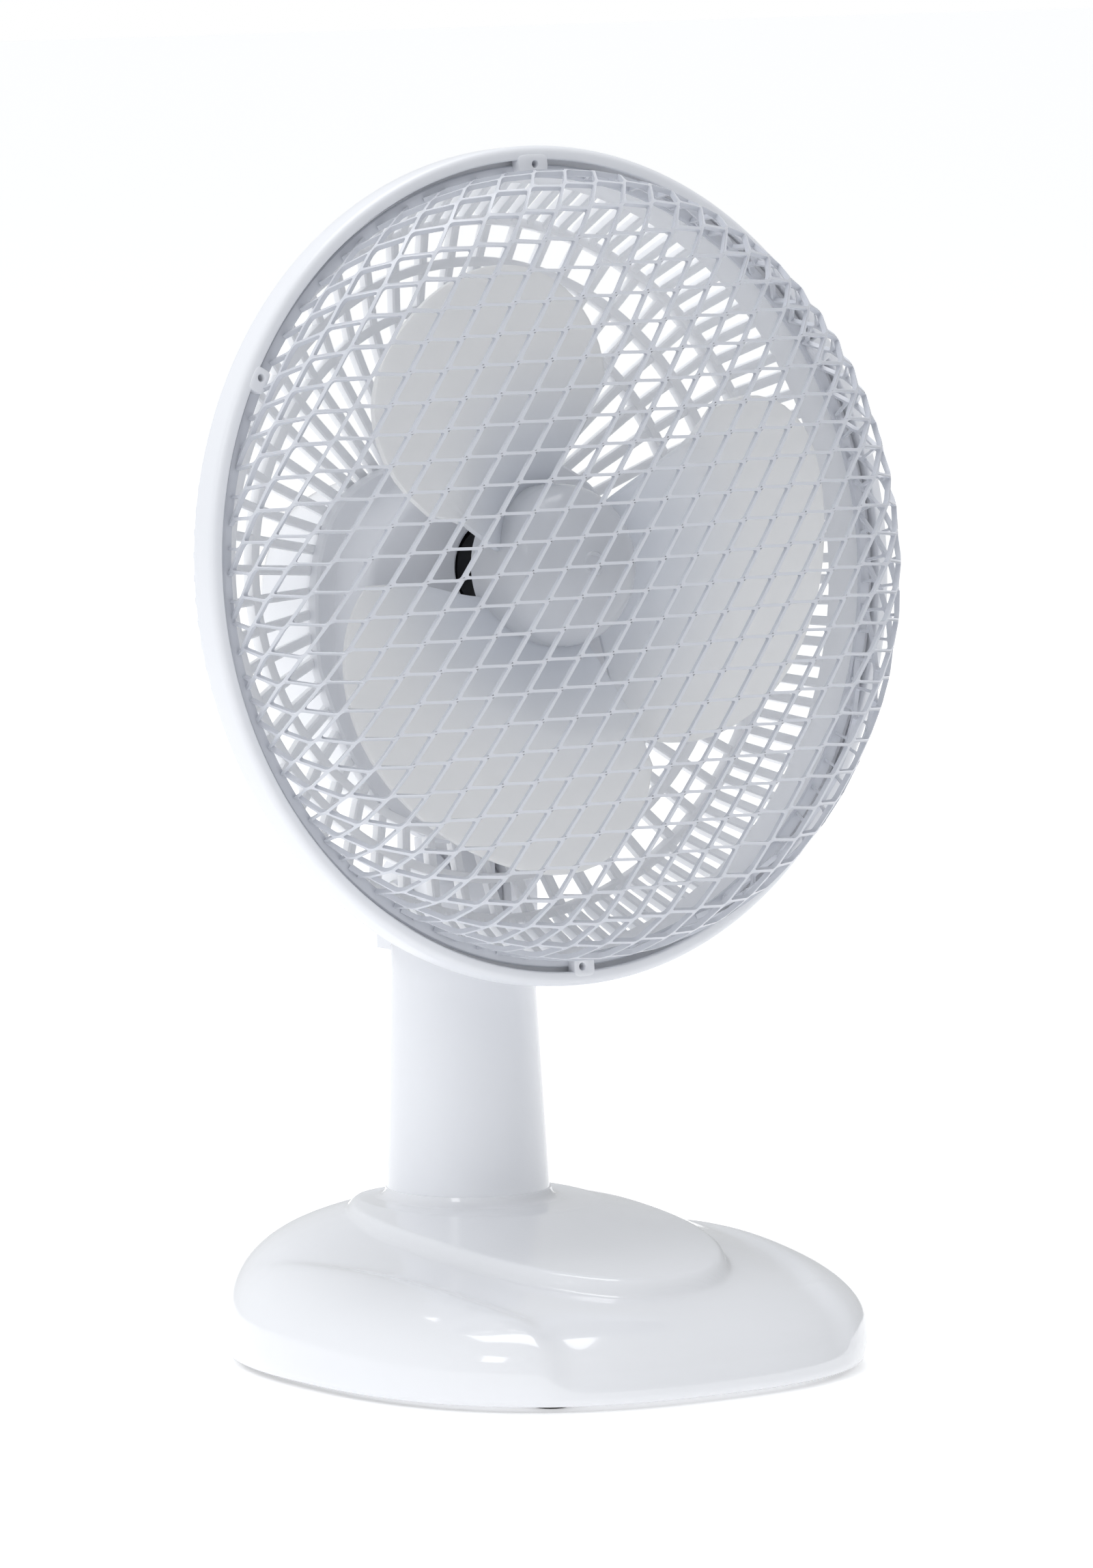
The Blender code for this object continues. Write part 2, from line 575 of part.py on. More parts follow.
# ---------------------------------------------------------------- rotor


def make_rotor():
    add_node("motor_shaft", rod(SHAFT_R, -8, MOTOR_MID + 18.5, 24), STEEL, ROTOR)
    core = tube(SHAFT_R + GAP, 12.2, MOTOR_MID - 7.5, MOTOR_MID + 7.5, 36)
    add_node("rotor_core", core, IRON, ROTOR)
    for name, start in (("thrust_washer_front", MOTOR_MID - 9.6), ("thrust_washer_rear", MOTOR_MID + 8.4)):
        add_node(name, tube(SHAFT_R + GAP, 4.4, start, start + 1.2, 20), BLACK, ROTOR)


def blade_point(u, v):
    """Blade surface: u runs from the leading to the trailing edge, v from the hub to the tip."""
    front_edge = radians(-72 + 6 * (1 - v) ** 2)
    rear_edge = radians(17 + 12 * sin(min(v / 0.62, 1.0) * pi / 2))
    angle = front_edge + (rear_edge - front_edge) * u
    lean = abs(u - 0.36) / (0.64 if u > 0.36 else 0.36)
    tip = BLADE_R * (1 - 0.33 * lean ** (3.2 if u < 0.36 else 3.0))
    radius = (HUB_R - 1.0) + (tip - HUB_R + 1.0) * v
    grown = min((radius - HUB_R) / 20.0, 1.0) if radius > HUB_R else 0.0
    pitch = 6.0 + 7.4 * grown
    forward = 7.0 * grown - pitch * (angle + radians(27))
    return Vector((radius * sin(angle), -forward, radius * cos(angle)))


def make_blade(turn):
    bm = bmesh.new()
    across, out = 9, 6
    bmesh.ops.create_grid(bm, x_segments=across, y_segments=out, size=0.5)
    for vert in bm.verts:
        vert.co = blade_point(vert.co.x + 0.5, vert.co.y + 0.5)
    bmesh.ops.rotate(bm, verts=bm.verts, cent=(0, 0, 0), matrix=Matrix.Rotation(turn, 3, "Y"))
    bmesh.ops.recalc_face_normals(bm, faces=bm.faces)
    return thicken(bm, 1.6)


def make_impeller():
    """Hub shell with a shaft boss and three wide swept blades, one moulding."""
    dome = arc((5.5, -5.5), 11.5, 0, -90, 6)
    outer = [(HUB_R, 6.0), (HUB_R - 0.3, -5.5)] + dome[1:] + [(0, -17.2)]
    inner = [(0, -15.2), (4.5, -15.2), (4.5, 3.0), (6.5, 3.0), (6.5, -14.0), (12.0, -11.5), (HUB_R - 2.2, -5.0), (HUB_R - 2.0, 6.0)]
    hub = [(r, h) for r, h in outer] + inner
    wheel = add_node("impeller", turned(hub, 28), MILKY, ROTOR)
    for i in range(BLADES):
        join_with(wheel, make_blade(2 * pi * i / BLADES), ROTOR)
    cut_by(wheel, rod(SHAFT_R + 0.06, -9, 8, 24), ROTOR)


make_base()
make_base_plate()
make_switch()
make_cord_outlet()
make_terminal_block()
make_neck()
make_neck_foot()
make_yoke()
make_tilt_bolt()
make_rear_guard()
make_ring()
make_mesh()
make_housing()
make_stator()
make_brackets()
make_rotor()
make_impeller()
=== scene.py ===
"""Looks for the desk fan: moulded white plastic, pressed mesh guard, milky blades, seen on a pale floor."""

import json
from math import asin, cos, exp, hypot, pi, radians, sin

import bmesh
import bpy
from mathutils import Matrix, Vector


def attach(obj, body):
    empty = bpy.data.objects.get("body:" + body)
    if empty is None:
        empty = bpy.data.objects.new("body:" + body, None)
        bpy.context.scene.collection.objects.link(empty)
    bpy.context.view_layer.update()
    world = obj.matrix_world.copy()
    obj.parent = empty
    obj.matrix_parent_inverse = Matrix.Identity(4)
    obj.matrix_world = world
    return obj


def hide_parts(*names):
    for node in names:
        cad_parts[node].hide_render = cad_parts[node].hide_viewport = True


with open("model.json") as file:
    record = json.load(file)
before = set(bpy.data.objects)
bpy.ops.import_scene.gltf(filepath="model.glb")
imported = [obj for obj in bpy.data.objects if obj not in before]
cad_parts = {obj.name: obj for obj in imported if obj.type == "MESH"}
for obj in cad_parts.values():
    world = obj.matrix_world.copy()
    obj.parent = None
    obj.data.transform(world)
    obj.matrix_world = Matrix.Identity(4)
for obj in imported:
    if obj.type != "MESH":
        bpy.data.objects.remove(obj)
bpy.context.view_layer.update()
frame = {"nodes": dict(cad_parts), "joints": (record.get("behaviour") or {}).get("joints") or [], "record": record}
JOINTS = {joint["name"]: joint for joint in frame["joints"]}
MM = 0.001

SPIN = JOINTS["fan_spin"]
RING_CENTRE = Vector(SPIN["pos_m"])
LEAN = asin(-SPIN["axis"][2])

# Frames in which pieces are drawn, in millimetres. In HEAD the fan axis is Y, and Y grows to the rear.
HEAD = Matrix.Translation(RING_CENTRE) @ Matrix.Rotation(-LEAN, 4, "X") @ Matrix.Scale(MM, 4)
BASE_BACK = -3.0         # middle of the base, along Y
BASE = Matrix.Translation((0, BASE_BACK * MM, 0)) @ Matrix.Scale(MM, 4)

RIBS = 56                # on the cone of the rear guard; the side has twice as many
HUB_R = 19.0
PLATE_DEPTH = 31.0       # rear plate behind the ring plane
CUP_DEPTH = 21.0         # floor of the motor cup, which stands forward from that plate


# ---------------------------------------------------------------- materials


def node_group(name, inputs, outputs):
    """An empty shader group with its sockets, and its two end nodes."""
    group = bpy.data.node_groups.new(name, "ShaderNodeTree")
    for label, kind, default in inputs:
        socket = group.interface.new_socket(label, in_out="INPUT", socket_type=kind)
        socket.default_value = default
    for label, kind in outputs:
        group.interface.new_socket(label, in_out="OUTPUT", socket_type=kind)
    return group, group.nodes.new("NodeGroupInput"), group.nodes.new("NodeGroupOutput")


def math_node(tree, operation, first, second=None, clamp=False):
    node = tree.nodes.new("ShaderNodeMath")
    node.operation = operation
    node.use_clamp = clamp
    for socket, value in zip(node.inputs, (first, second)):
        if value is None:
            continue
        if isinstance(value, (int, float)):
            socket.default_value = value
        else:
            tree.links.new(value, socket)
    return node.outputs[0]


def noise_node(tree, vector, scale, detail, rough=0.5):
    node = tree.nodes.new("ShaderNodeTexNoise")
    node.inputs["Detail"].default_value = detail
    node.inputs["Roughness"].default_value = rough
    tree.links.new(vector, node.inputs["Vector"])
    if isinstance(scale, (int, float)):
        node.inputs["Scale"].default_value = scale
    else:
        tree.links.new(scale, node.inputs["Scale"])
    return node.outputs["Fac"]


SURFACE_OUTPUTS = [
    ("Colour", "NodeSocketColor"),
    ("Roughness", "NodeSocketFloat"),
    ("Height", "NodeSocketFloat"),
]


def make_moulded_group():
    """Colour drift, handling haze and fine orange peel of injection-moulded plastic."""
    group, enter, leave = node_group(
        "moulded_surface",
        [
            ("Colour", "NodeSocketColor", (0.8, 0.8, 0.8, 1)),
            ("Drift", "NodeSocketFloat", 0.03),
            ("Roughness", "NodeSocketFloat", 0.3),
            ("Haze", "NodeSocketFloat", 0.06),
            ("Grain", "NodeSocketFloat", 900.0),
        ],
        SURFACE_OUTPUTS,
    )
    place = group.nodes.new("ShaderNodeTexCoord").outputs["Object"]
    cloud = noise_node(group, place, 14.0, 3)
    smear = noise_node(group, place, 60.0, 4, 0.6)
    peel = noise_node(group, place, enter.outputs["Grain"], 2)
    shade = group.nodes.new("ShaderNodeHueSaturation")
    away = math_node(group, "SUBTRACT", cloud, 0.5)
    swing = math_node(group, "MULTIPLY", away, enter.outputs["Drift"])
    group.links.new(math_node(group, "ADD", swing, 1.0), shade.inputs["Value"])
    group.links.new(enter.outputs["Colour"], shade.inputs["Color"])
    haze = math_node(group, "MULTIPLY", math_node(group, "SUBTRACT", smear, 0.5), enter.outputs["Haze"])
    rough = math_node(group, "ADD", haze, enter.outputs["Roughness"], True)
    group.links.new(shade.outputs["Color"], leave.inputs["Colour"])
    group.links.new(rough, leave.inputs["Roughness"])
    group.links.new(peel, leave.inputs["Height"])
    return group


def make_metal_group():
    """Brush lines and dull spots on plated or bare metal."""
    group, enter, leave = node_group(
        "worked_metal",
        [
            ("Colour", "NodeSocketColor", (0.6, 0.6, 0.6, 1)),
            ("Spots", "NodeSocketFloat", 0.2),
            ("Roughness", "NodeSocketFloat", 0.3),
            ("Grain", "NodeSocketFloat", 400.0),
        ],
        SURFACE_OUTPUTS,
    )
    place = group.nodes.new("ShaderNodeTexCoord").outputs["Object"]
    spot = noise_node(group, place, 180.0, 4, 0.6)
    line = noise_node(group, place, enter.outputs["Grain"], 3)
    shade = group.nodes.new("ShaderNodeHueSaturation")
    away = math_node(group, "SUBTRACT", spot, 0.5)
    dull = math_node(group, "MULTIPLY", away, enter.outputs["Spots"])
    group.links.new(math_node(group, "ADD", dull, 1.0), shade.inputs["Value"])
    group.links.new(enter.outputs["Colour"], shade.inputs["Color"])
    rough = math_node(group, "ADD", dull, enter.outputs["Roughness"], True)
    group.links.new(shade.outputs["Color"], leave.inputs["Colour"])
    group.links.new(rough, leave.inputs["Roughness"])
    group.links.new(line, leave.inputs["Height"])
    return group


MOULDED = make_moulded_group()
WORKED = make_metal_group()
BUMP_HEIGHT = 0.0002     # in metres


def make_finish(name, group, values, bump, fixed=None):
    """A Principled material fed by one of the surface groups; fixed values sit on the shader itself."""
    mat = bpy.data.materials.new(name)
    mat.use_nodes = True
    tree = mat.node_tree
    shader = tree.nodes["Principled BSDF"]
    surface = tree.nodes.new("ShaderNodeGroup")
    surface.node_tree = group
    for label, value in values.items():
        surface.inputs[label].default_value = value
    relief = tree.nodes.new("ShaderNodeBump")
    relief.inputs["Strength"].default_value = bump
    relief.inputs["Distance"].default_value = BUMP_HEIGHT
    tree.links.new(surface.outputs["Colour"], shader.inputs["Base Color"])
    tree.links.new(surface.outputs["Roughness"], shader.inputs["Roughness"])
    tree.links.new(surface.outputs["Height"], relief.inputs["Height"])
    tree.links.new(relief.outputs["Normal"], shader.inputs["Normal"])
    for label, value in (fixed or {}).items():
        shader.inputs[label].default_value = value
    return mat


def plastic(name, colour, roughness, drift=0.03, haze=0.05, grain=900.0, bump=0.05, **fixed):
    values = {"Colour": (*colour, 1), "Roughness": roughness}
    values |= {"Drift": drift, "Haze": haze, "Grain": grain}
    own = {key.replace("_", " "): value for key, value in fixed.items()}
    return make_finish(name, MOULDED, values, bump, own)


def metal(name, colour, roughness, spots=0.15, grain=400.0, bump=0.1):
    values = {"Colour": (*colour, 1), "Spots": spots, "Roughness": roughness, "Grain": grain}
    return make_finish(name, WORKED, values, bump, {"Metallic": 1.0})


# Painted shade: the blades are darker and bluer towards the hub, standing in for shade near the hub.
BLADE_ROOT_PAINTED_SHADE = (0.72, 0.75, 0.81)
BLADE_TIP = (0.91, 0.915, 0.92)

WHITE = plastic(
    "glossy_white_plastic", (0.82, 0.835, 0.875), 0.16, Coat_Weight=0.35, Coat_Roughness=0.06
)
# Painted light: a lighter copy of the white plastic for the base, standing in for more light on its top.
BASE_WHITE_PAINTED_LIGHT = plastic(
    "glossy_base_plastic_painted_light", (0.85, 0.862, 0.895), 0.12, Coat_Weight=0.5, Coat_Roughness=0.04
)
GUARD = plastic("satin_guard_plastic", (0.8, 0.815, 0.855), 0.3, bump=0.08)
# Painted light: the ribs are one moulding with the guard plate, but get a lighter copy of its plastic that stands
# in for light falling on them.
RIB_PAINTED_LIGHT = plastic("rib_plastic_painted_light", (0.92, 0.93, 0.955), 0.3, bump=0.08)
MESH_COAT = plastic(
    "guard_mesh_coating", (0.63, 0.65, 0.705), 0.26, drift=0.06, grain=1400.0, bump=0.15
)
MILKY = plastic("milky_blade_plastic", BLADE_TIP, 0.3, Transmission_Weight=0.15, IOR=1.25)
# Painted shade: the hub is the same milky plastic as the blades, given a darker copy that stands in for shade in
# the hub.
MILKY_HUB_PAINTED_SHADE = plastic(
    "milky_hub_plastic_painted_shade", (0.74, 0.76, 0.805), 0.12, Transmission_Weight=0.3, IOR=1.25, Coat_Weight=0.3
)

BLACK = plastic("black_plastic", (0.012, 0.012, 0.014), 0.42, drift=0.3, grain=500.0, bump=0.2)
RUBBER = plastic("black_rubber", (0.014, 0.014, 0.015), 0.75, drift=0.4, grain=700.0, bump=0.4)
STEEL = metal("zinc_plated_steel", (0.62, 0.63, 0.65), 0.3)
IRON = metal("lamination_steel", (0.3, 0.31, 0.33), 0.5, spots=0.3, grain=900.0, bump=0.3)
COPPER = metal("enamelled_copper", (0.55, 0.2, 0.07), 0.3, grain=1500.0, bump=0.4)
BRONZE = metal("sintered_bronze", (0.45, 0.3, 0.12), 0.5, spots=0.4, grain=1200.0, bump=0.3)


def paint_root_shade(mat, root, tip):
    """Paints shade near the hub: blends from a darker colour at the hub, which stands in for shade on the blade
    roots, to another near the blade tips.
    """
    tree = mat.node_tree
    away = tree.nodes.new("ShaderNodeVectorMath")
    away.operation = "DISTANCE"
    tree.links.new(tree.nodes.new("ShaderNodeTexCoord").outputs["Object"], away.inputs[0])
    away.inputs[1].default_value = RING_CENTRE
    span = tree.nodes.new("ShaderNodeMapRange")
    span.interpolation_type = "SMOOTHSTEP"
    span.inputs["From Min"].default_value = HUB_R * MM + 0.001
    span.inputs["From Max"].default_value = 0.058
    tree.links.new(away.outputs["Value"], span.inputs["Value"])
    blend = tree.nodes.new("ShaderNodeMix")
    blend.data_type = "RGBA"
    blend.inputs["A"].default_value = (*root, 1)
    blend.inputs["B"].default_value = (*tip, 1)
    tree.links.new(span.outputs["Result"], blend.inputs["Factor"])
    surface = next(n for n in tree.nodes if n.type == "GROUP")
    tree.links.new(blend.outputs["Result"], surface.inputs["Colour"])


# Paints the shade near the hub onto the blade colour.
paint_root_shade(MILKY, BLADE_ROOT_PAINTED_SHADE, BLADE_TIP)

CARRIED = {
    "white_plastic": WHITE, "guard_plastic": GUARD, "milky_plastic": MILKY, "black_plastic": BLACK,
    "black_rubber": RUBBER, "zinc_steel": STEEL, "lamination_steel": IRON, "enamelled_copper": COPPER,
    "sintered_bronze": BRONZE,
}
SLOT_OF = {part["node"]: part["material_slot"] for part in frame["record"]["subparts"]}
for node, obj in frame["nodes"].items():
    for place in obj.material_slots:
        place.material = CARRIED[SLOT_OF[node]]


# ---------------------------------------------------------------- mesh helpers, in millimetres


def finish_piece(name, bm, mat, body, place, nodes, sharp=35):
    """Moves a drawing into place as an object that rides a body and stands for CAD nodes."""
    bmesh.ops.remove_doubles(bm, verts=bm.verts, dist=1e-4)
    bmesh.ops.recalc_face_normals(bm, faces=bm.faces)
    bm.transform(place)
    mesh = bpy.data.meshes.new(name)
    bm.to_mesh(mesh)
    bm.free()
    mesh.materials.append(mat)
    mesh.shade_smooth()
    mesh.set_sharp_from_angle(angle=radians(sharp))
    obj = bpy.data.objects.new(name, mesh)
    bpy.context.scene.collection.objects.link(obj)
    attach(obj, body)
    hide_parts(*nodes)
    return obj


def arc(centre, radius, start, end, steps):
    """Points along an arc, from one angle to another in degrees."""
    turn = [radians(start + (end - start) * i / steps) for i in range(steps + 1)]
    return [(centre[0] + radius * cos(a), centre[1] + radius * sin(a)) for a in turn]


def turned(profile, steps, axis="Y", bm=None):
    """Spins a closed outline of (radius, along) points around Y or Z."""
    along = Vector((0, 1, 0)) if axis == "Y" else Vector((0, 0, 1))
    bm = bm or bmesh.new()
    verts = [bm.verts.new(Vector((r, 0, 0)) + along * h) for r, h in profile]
    edges = [bm.edges.new((a, b)) for a, b in zip(verts, verts[1:] + verts[:1])]
    made = bmesh.ops.spin(
        bm, geom=verts + edges, axis=along, cent=(0, 0, 0), angle=2 * pi, steps=steps, use_merge=True
    )
    rim = [v for v in bm.verts if hypot(v.co.x, v.co.z if axis == "Y" else v.co.y) < 1e-3]
    if rim:
        bmesh.ops.remove_doubles(bm, verts=rim, dist=1e-3)
    bmesh.ops.dissolve_degenerate(bm, edges=bm.edges, dist=1e-4)
    return bm


def loft(rings, count, cap_last=False):
    """A skin through rings; each ring maps an angle to a point."""
    bm = bmesh.new()
    turn = [2 * pi * i / count for i in range(count)]
    first = bmesh.ops.create_circle(bm, segments=count, radius=1)["verts"]
    for vert, a in zip(first, turn):
        vert.co = rings[0](a)
    around = set(first)
    edges = [e for e in bm.edges if e.verts[0] in around and e.verts[1] in around]
    for ring in rings[1:]:
        grown = bmesh.ops.extrude_edge_only(bm, edges=edges)["geom"]
        edges = [g for g in grown if isinstance(g, bmesh.types.BMEdge)]
        bm.verts.ensure_lookup_table()
        for vert, a in zip(bm.verts[-count:], turn):
            vert.co = ring(a)
    if cap_last:
        bmesh.ops.contextual_create(bm, geom=edges)
    return bm


def sweep(section, frames, bm):
    """Extrudes a closed section through frames; each frame is (origin, across, up)."""
    origin, across, up = frames[0]
    face = bm.faces.new([bm.verts.new(origin + across * u + up * v) for u, v in section])
    for last, (origin, across, up) in zip(frames, frames[1:]):
        grown = bmesh.ops.extrude_face_region(bm, geom=[face])["geom"]
        face = next(g for g in grown if isinstance(g, bmesh.types.BMFace))
        before = [last[0] + last[1] * u + last[2] * v for u, v in section]
        for vert in face.verts:
            u, v = section[min(range(len(section)), key=lambda i: (before[i] - vert.co).length)]
            vert.co = origin + across * u + up * v
    return bm


def round_ring(depth, radius, centre=(0.0, 0.0)):
    """A circle across the fan axis, for a loft."""
    x, z = centre
    return lambda angle: Vector((x + radius * cos(angle), depth, z + radius * sin(angle)))


def thicken(bm, thickness):
    """Gives an open skin a wall."""
    bm.normal_update()
    bmesh.ops.solidify(bm, geom=bm.verts[:] + bm.edges[:] + bm.faces[:], thickness=thickness)
    return bm


def carve(obj, tools):
    """Cuts helper shapes out of a finished piece with an exact Boolean, and keeps its material."""
    for bm, place in tools:
        bmesh.ops.recalc_face_normals(bm, faces=bm.faces)
        bm.transform(place)
        mesh = bpy.data.meshes.new("cutter")
        bm.to_mesh(mesh)
        bm.free()
        cutter = bpy.data.objects.new("cutter", mesh)
        bpy.context.scene.collection.objects.link(cutter)
        cut = obj.modifiers.new("cut", "BOOLEAN")
        cut.solver = "EXACT"
        cut.operation = "DIFFERENCE"
        cut.object = cutter
        bpy.context.view_layer.update()
        graph = bpy.context.evaluated_depsgraph_get()
        result = bpy.data.meshes.new_from_object(obj.evaluated_get(graph), depsgraph=graph)
        obj.modifiers.clear()
        obj.data = result
        bpy.data.objects.remove(cutter, do_unlink=True)
    obj.data.set_sharp_from_angle(angle=radians(35))


def block(low, high, bevel):
    """A box between two corners, its edges rounded."""
    bm = bmesh.new()
    bmesh.ops.create_cube(bm, size=1)
    low, high = Vector(low), Vector(high)
    for vert in bm.verts:
        vert.co = Vector((low[i] + (vert.co[i] + 0.5) * (high[i] - low[i]) for i in range(3)))
    bmesh.ops.bevel(
        bm, geom=bm.edges[:], offset=bevel, segments=3, profile=0.5, affect="EDGES", material=-1
    )
    return bm


# ---------------------------------------------------------------- head shapes


def shield_reach(angle, grow=0.0):
    """Distance from the fan axis to the edge of the rear plate, which narrows towards the neck."""
    near, far = 0.0, 120.0
    while far - near > 0.001:
        reach = (near + far) / 2
        x, z = reach * cos(angle), reach * sin(angle)
        half = (46 + grow) * (1 - 0.0062 * max(-z - 20, 0))
        inside = abs(x / half) ** 3 + abs((z + 18.5) / (45.5 + grow)) ** 3 < 1
        near, far = (reach, far) if inside else (near, reach)
    return near


def shield_ring(depth, grow, scale=1.0):
    """The plate's outline for a loft, scaled about its middle."""
    middle = -16.0

    def place(angle):
        reach = shield_reach(angle, grow)
        x, z = reach * cos(angle), reach * sin(angle)
        return Vector((x * scale, depth, middle + (z - middle) * scale))

    return place


def dome_depth(radius):
    """Depth of the ribs' front edge behind the ring plane."""
    if radius > CORNER_R:
        return 22.0 - (radius - CORNER_R) * 12.0 / 8.3
    return 22.0 + (CORNER_R - radius) * 0.453 - max(62.5 - radius, 0) * 0.28


RIB_SECTION = [(-1.15, 0.4), (-0.75, 0.0), (0.75, 0.0), (1.15, 0.4)]
RIB_SECTION += [(1.0, 2.8), (0.6, 3.1), (-0.6, 3.1), (-1.0, 2.8)]
HOOP_WIDTH = 2.4
CORNER_R = 81.7              # where the side of the cage turns into its cone
SIDE_LEAN = (0.57, 0.82)     # along the axis and outwards, square to the side ribs


def make_rear_guard():
    """Rim band, ribs, hoops and the plate that carries the motor cup, all one moulding."""
    bm = bmesh.new()
    for i in range(RIBS):
        angle = pi / 2 + 2 * pi * (i + 0.5) / RIBS
        out = Vector((cos(angle), 0, sin(angle)))
        across = Vector((-sin(angle), 0, cos(angle)))
        start = shield_reach(angle, -2.0)
        path = [start + (81.5 - start) * j / 6 for j in range(7)]
        frames = [(out * r + Vector((0, dome_depth(r), 0)), across, Vector((0, 1, 0))) for r in path]
        sweep(RIB_SECTION, frames, bm)
    for i in range(2 * RIBS):
        angle = pi / 2 + 2 * pi * (i + 0.5) / (2 * RIBS)
        out = Vector((cos(angle), 0, sin(angle)))
        across = Vector((-sin(angle), 0, cos(angle)))
        lean = Vector((0, SIDE_LEAN[0], 0)) + out * SIDE_LEAN[1]
        path = [80.7, 82.6, 86.0, 90.6]
        frames = [(out * r + Vector((0, dome_depth(max(r, CORNER_R)), 0)), across, lean) for r in path]
        sweep(RIB_SECTION, frames, bm)
    for radius in (CORNER_R, 72.2, 62.6):
        deep = dome_depth(radius)
        half = HOOP_WIDTH / 2
        section = arc((radius - half + 0.4, deep - 0.1), 0.4, 180, 270, 2)
        section += arc((radius + half - 0.4, deep - 0.1), 0.4, 270, 360, 2)
        section += [(radius + half - 0.2, deep + 3.0), (radius - half + 0.2, deep + 3.0)]
        turned(section, 168, bm=bm)
    band = [(89.6, 11.0), (89.8, 9.6), (90.6, 7.2), (92.6, 2.4), (93.0, 1.4), (94.9, 1.4)]
    band += [(94.9, 3.4), (94.2, 4.2), (92.6, 8.0), (91.9, 10.6), (91.2, 11.4)]
    turned(band, 168, bm=bm)
    # The ribs wear the lighter copy of the guard plastic, which is painted light.
    finish_piece("rear_guard_ribs", bm, RIB_PAINTED_LIGHT, "head", HEAD, ["rear_guard"])

    rings = [round_ring(CUP_DEPTH + 4.5, 12.0), round_ring(CUP_DEPTH + 0.8, 12.0)]
    rings += [round_ring(CUP_DEPTH, 12.9), shield_ring(CUP_DEPTH, -16.0), shield_ring(CUP_DEPTH, -9.5)]
    for step in range(1, 6):
        bend = radians(18 * step)
        rings.append(shield_ring(CUP_DEPTH + 2.8 * (1 - cos(bend)), -9.5 + 2.8 * sin(bend)))
    rings += [shield_ring(PLATE_DEPTH - 2.2, -5.2), shield_ring(PLATE_DEPTH - 0.8, -4.6)]
    rings += [shield_ring(PLATE_DEPTH - 0.2, -3.6), shield_ring(PLATE_DEPTH - 0.2, -0.6)]
    rings += [shield_ring(PLATE_DEPTH + 0.3, 0.0), shield_ring(PLATE_DEPTH + 3.0, 0.0)]
    plate = thicken(loft(rings, 120), -1.6)
    finish_piece("rear_guard_plate", plate, GUARD, "head", HEAD, ["rear_guard"])


LUG_ANGLES = (0, 60, 180, 300)
LUG_R = 93.2             # middle of a lug, from the fan axis
LUG_FRONT = -2.9


def make_ring():
    """Snap ring with its rolled lips, and the four lugs that hold the mesh down."""
    section = [(95.3, 4.3), (95.5, 4.5)] + arc((97.0, 4.0), 0.5, 90, 0, 3)
    section += arc((95.8, -1.0), 1.7, 0, -90, 7) + arc((94.7, -2.2), 0.5, -90, -180, 4)
    section += [(94.2, -1.2), (94.9, -0.7), (95.3, -0.3)]
    bm = turned(section, 192)
    for degree in LUG_ANGLES:
        wide = 4.2 if degree == 0 else 2.9

        def outline(angle, wide=wide):
            reach = (abs(cos(angle)) ** 5 + abs(sin(angle)) ** 5) ** -0.2
            return Vector((wide * reach * cos(angle), LUG_FRONT, LUG_R + 2.2 * reach * sin(angle)))

        lug = loft([round_ring(LUG_FRONT, 0.85, (0.6, LUG_R - 0.1)), outline], 32)
        grown = bmesh.ops.extrude_face_region(lug, geom=lug.faces[:])["geom"]
        rear = [g for g in grown if isinstance(g, bmesh.types.BMVert)]
        bmesh.ops.translate(lug, verts=rear, vec=(0, 2.7, 0))
        rims = [e for e in lug.edges if len(e.link_faces) == 2 and e.calc_face_angle(0) > 1.2]
        bmesh.ops.bevel(lug, geom=rims, offset=0.3, segments=2, profile=0.5, affect="EDGES", material=-1)
        turn = Matrix.Rotation(radians(degree), 3, "Y")
        bmesh.ops.rotate(lug, verts=lug.verts, cent=(0, 0, 0), matrix=turn)
        mesh = bpy.data.meshes.new("lug")
        lug.to_mesh(mesh)
        lug.free()
        bm.from_mesh(mesh)
        bpy.data.meshes.remove(mesh)
    finish_piece("guard_ring_cover", bm, GUARD, "head", HEAD, ["guard_ring"])


MESH_ACROSS = Vector((9.4, 0.3))     # one cell to the next along the strands
MESH_ALONG = Vector((5.5, 7.0))
MESH_BOND = Vector((1.9, 1.8))       # the short slanting joint between two strands, at the rim
STRAND = 0.35                        # half the width of a strand
SHEET = 1.2                          # thickness, with the twist of the strands
BOWL_FACE = 73.5                     # radius of the nearly flat front
BOWL_ROUND = 17.0                    # bend between the front and the wall
BOWL_DEPTH = 25.0                    # edge of the front, forward of the ring plane
BOWL_CROWN = 5.5                     # how much further the middle stands out


def bowl(flat, lift):
    """Maps a distance on the flat sheet to a radius and a forward distance on the pressed bowl."""
    turn = BOWL_ROUND * pi / 2
    if flat < BOWL_FACE:
        return flat, BOWL_DEPTH + BOWL_CROWN * (1 - (flat / BOWL_FACE) ** 3) + lift
    start = BOWL_DEPTH - BOWL_ROUND
    if flat < BOWL_FACE + turn:
        bend = (flat - BOWL_FACE) / BOWL_ROUND
        reach = BOWL_ROUND + lift
        return BOWL_FACE + reach * sin(bend), start + reach * cos(bend)
    return BOWL_FACE + BOWL_ROUND + lift, start - (flat - BOWL_FACE - turn)


